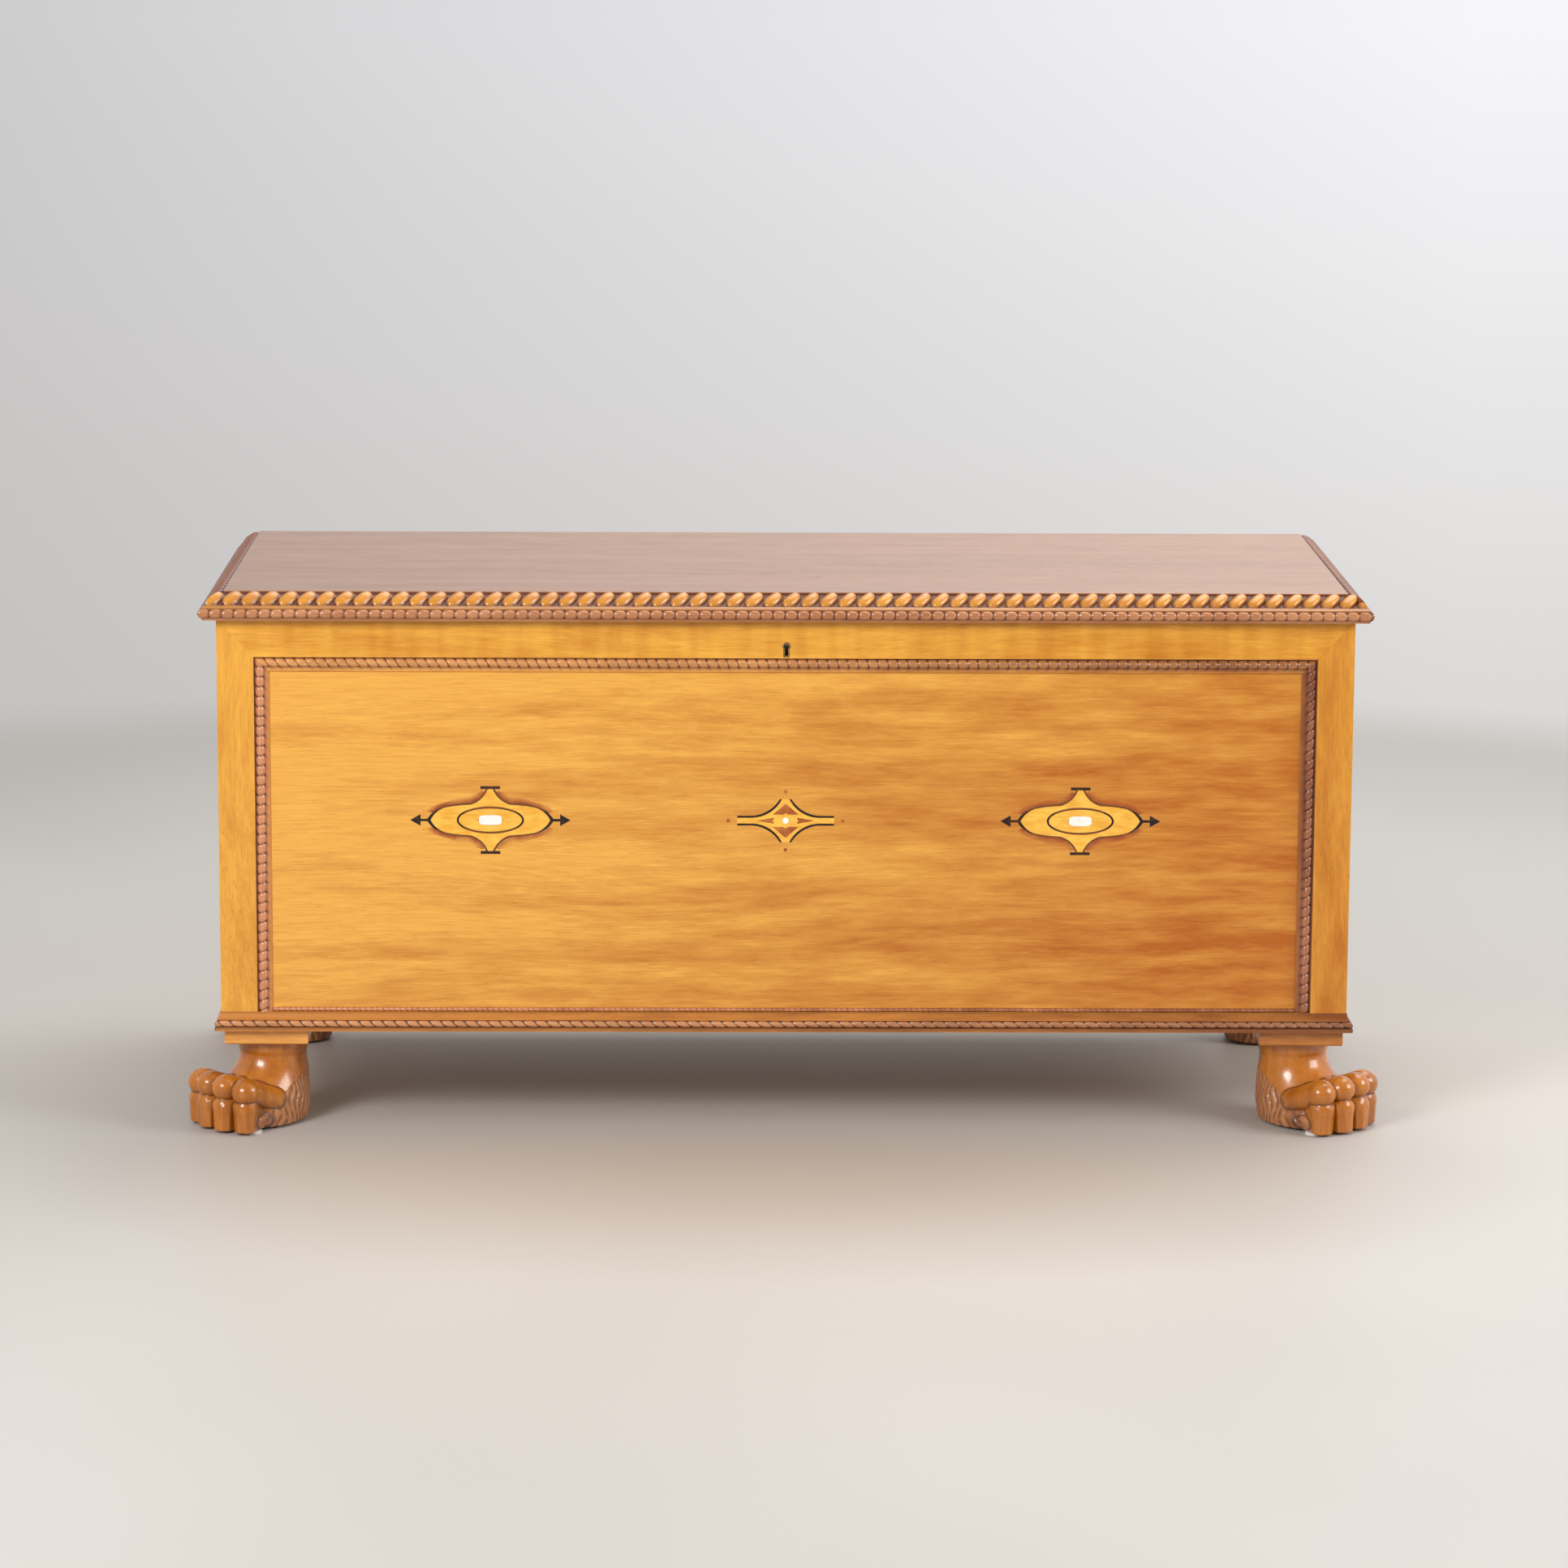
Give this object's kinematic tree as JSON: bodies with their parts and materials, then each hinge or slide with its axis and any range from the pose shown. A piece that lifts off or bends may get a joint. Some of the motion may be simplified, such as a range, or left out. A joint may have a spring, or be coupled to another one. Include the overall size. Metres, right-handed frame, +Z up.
{
  "type": "cassone",
  "caption": "Low oak chest with a hinged lid, rope-carved and beaded mouldings, marquetry medallions on the front and carved lion-paw feet.",
  "frame": {"origin": "on the floor, under the middle of the body", "axes": "+X to the right as the front is seen, +Y from the front to the back, +Z up"},
  "size_m": [1.3482, 0.5932, 0.6093],
  "materials": {
    "panel_oak": "satin polished golden oak",
    "lid_oak": "polished oak, a little faded",
    "carved_oak": "glossy polished carving",
    "bead_wood": "dark stained, polished",
    "plain_oak": "planed and oiled",
    "inlay_dark": "polished dark stringing",
    "inlay_red": "polished red-brown veneer",
    "inlay_light": "polished light veneer",
    "pearl": "mother of pearl",
    "felt": "white felt",
    "brass": "aged brass",
    "steel": "darkened iron"
  },
  "bodies": {
    "carcase": {"back_board_lower": "plain_oak", "back_board_upper": "plain_oak", "back_left_paw": "carved_oak", "back_left_plinth_block": "panel_oak", "back_left_post": "panel_oak", "back_right_paw": "carved_oak", "back_right_plinth_block": "panel_oak", "back_right_post": "panel_oak", "base_moulding_front": "carved_oak", "base_moulding_left": "carved_oak", "base_moulding_right": "carved_oak", "bottom_board": "plain_oak", "foot_glides": "felt", "front_bottom_rail": "plain_oak", "front_left_paw": "carved_oak", "front_left_plinth_block": "panel_oak", "front_left_post": "panel_oak", "front_panel": "panel_oak", "front_panel_bottom_bead": "bead_wood", "front_panel_left_bead": "bead_wood", "front_panel_right_bead": "bead_wood", "front_panel_top_bead": "bead_wood", "front_right_paw": "carved_oak", "front_right_plinth_block": "panel_oak", "front_right_post": "panel_oak", "front_top_rail": "panel_oak", "hinge_lower_leaves": "brass", "hinge_lower_screws": "brass", "hinge_pins": "brass", "inlay_dark_stringing": "inlay_dark", "inlay_light_fields": "inlay_light", "inlay_pearl": "pearl", "inlay_red_shading": "inlay_red", "keyhole_lining": "brass", "left_bottom_rail": "plain_oak", "left_panel": "panel_oak", "left_panel_back_bead": "bead_wood", "left_panel_bottom_bead": "bead_wood", "left_panel_front_bead": "bead_wood", "left_panel_top_bead": "bead_wood", "left_top_rail": "panel_oak", "lock_cap": "steel", "lock_case": "steel", "lock_screws": "steel", "right_bottom_rail": "plain_oak", "right_panel": "panel_oak", "right_panel_back_bead": "bead_wood", "right_panel_bottom_bead": "bead_wood", "right_panel_front_bead": "bead_wood", "right_panel_top_bead": "bead_wood", "right_top_rail": "panel_oak"},
    "lid": {"hinge_upper_leaves": "brass", "hinge_upper_screws": "brass", "lid_moulding_front": "carved_oak", "lid_moulding_left": "carved_oak", "lid_moulding_right": "carved_oak", "lid_panel": "lid_oak", "strike_plate": "brass", "strike_screws": "brass"},
    "bolt": {"lock_bolt": "steel"}
  },
  "joints": [
    {"name": "lid_hinge", "type": "hinge", "parent": "carcase", "child": "lid", "pos_m": [0, 0.2582, 0.57915], "axis": [-1, 0, 0], "range_deg": [0, 95]},
    {"name": "bolt_slide", "type": "slide", "parent": "carcase", "child": "bolt", "axis": [0, 0, 1], "range_m": [0, 0.008]}
  ]
}
